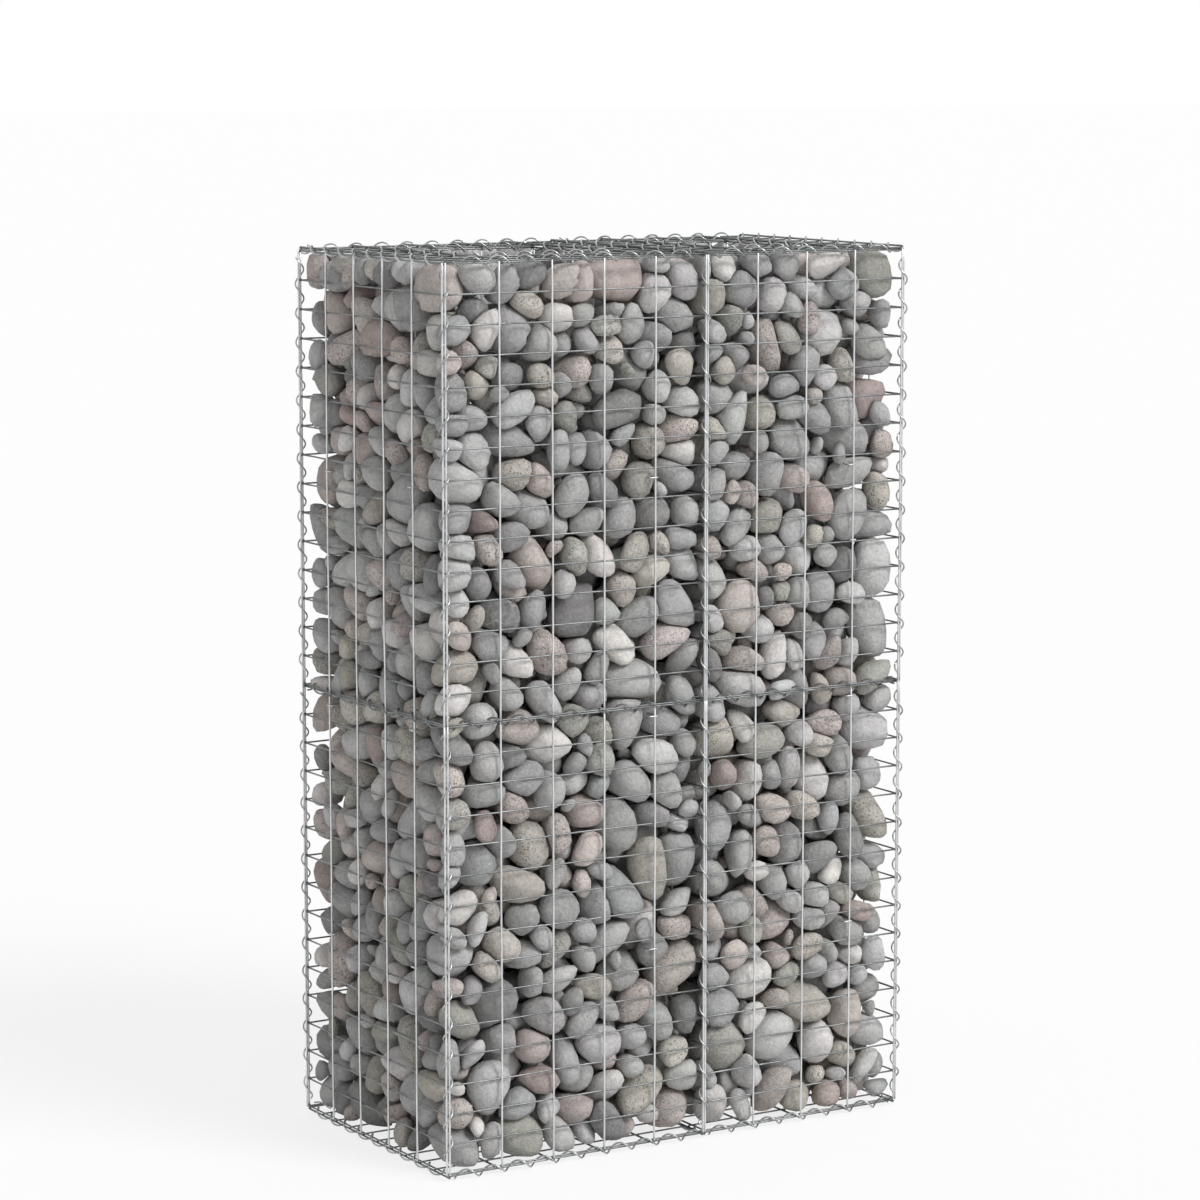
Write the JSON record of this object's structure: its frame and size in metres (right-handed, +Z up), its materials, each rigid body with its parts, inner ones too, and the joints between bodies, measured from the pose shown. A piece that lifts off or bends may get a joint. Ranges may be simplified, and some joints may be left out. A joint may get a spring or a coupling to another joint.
{
  "type": "gabion raised bed",
  "caption": "Tall free-standing gabion raised bed: a cage of welded wire mesh in tiers and bays, laced with spiral wires and filled with cobbles, with planting pockets in its lid.",
  "frame": {"origin": "middle of the footprint, on the ground", "axes": "+X along the long front from the wider bay to the narrower one, +Y from the front to the back, +Z up"},
  "size_m": [0.9259, 0.5195, 1.5273],
  "materials": {
    "mesh_wire": "hot-dip galvanised wire, pale grey, semi-matt",
    "spiral_wire": "galvanised wire wound into a spiral, semi-matt",
    "tie_wire": "galvanised wire, cut and bent by hand",
    "cobbles": "river cobbles, smooth and dull, mixed greys with some pinkish, tan and pale ones"
  },
  "bodies": {
    "root": {"lower_front_left": "mesh_wire", "lower_front_right": "mesh_wire", "lower_back_left": "mesh_wire", "lower_back_right": "mesh_wire", "lower_side_left": "mesh_wire", "lower_side_right": "mesh_wire", "lower_partition": "mesh_wire", "upper_front_left": "mesh_wire", "upper_front_right": "mesh_wire", "upper_back_left": "mesh_wire", "upper_back_right": "mesh_wire", "upper_side_left": "mesh_wire", "upper_side_right": "mesh_wire", "upper_partition": "mesh_wire", "base_left": "mesh_wire", "base_right": "mesh_wire", "lid_left": "mesh_wire", "lid_right": "mesh_wire", "pocket_left_front": "mesh_wire", "pocket_left_back": "mesh_wire", "pocket_left_near": "mesh_wire", "pocket_left_far": "mesh_wire", "pocket_left_floor": "mesh_wire", "pocket_right_front": "mesh_wire", "pocket_right_back": "mesh_wire", "pocket_right_near": "mesh_wire", "pocket_right_far": "mesh_wire", "pocket_right_floor": "mesh_wire", "spiral_corner_front_left": "spiral_wire", "spiral_corner_front_right": "spiral_wire", "spiral_corner_back_left": "spiral_wire", "spiral_corner_back_right": "spiral_wire", "spiral_bay_front": "spiral_wire", "spiral_bay_back": "spiral_wire", "spiral_tier_front": "spiral_wire", "spiral_tier_back": "spiral_wire", "spiral_tier_left": "spiral_wire", "spiral_tier_right": "spiral_wire", "spiral_base_front": "spiral_wire", "spiral_base_back": "spiral_wire", "spiral_base_left": "spiral_wire", "spiral_base_middle": "spiral_wire", "spiral_base_right": "spiral_wire", "spiral_lid_front": "spiral_wire", "spiral_lid_back": "spiral_wire", "spiral_lid_left": "spiral_wire", "spiral_lid_middle": "spiral_wire", "spiral_lid_right": "spiral_wire", "spiral_pocket_left": "spiral_wire", "spiral_pocket_right": "spiral_wire", "ties_across": "tie_wire", "ties_along": "tie_wire", "fill_lower_left": "cobbles", "fill_lower_right": "cobbles", "fill_upper_left": "cobbles", "fill_upper_right": "cobbles"}
  },
  "joints": []
}
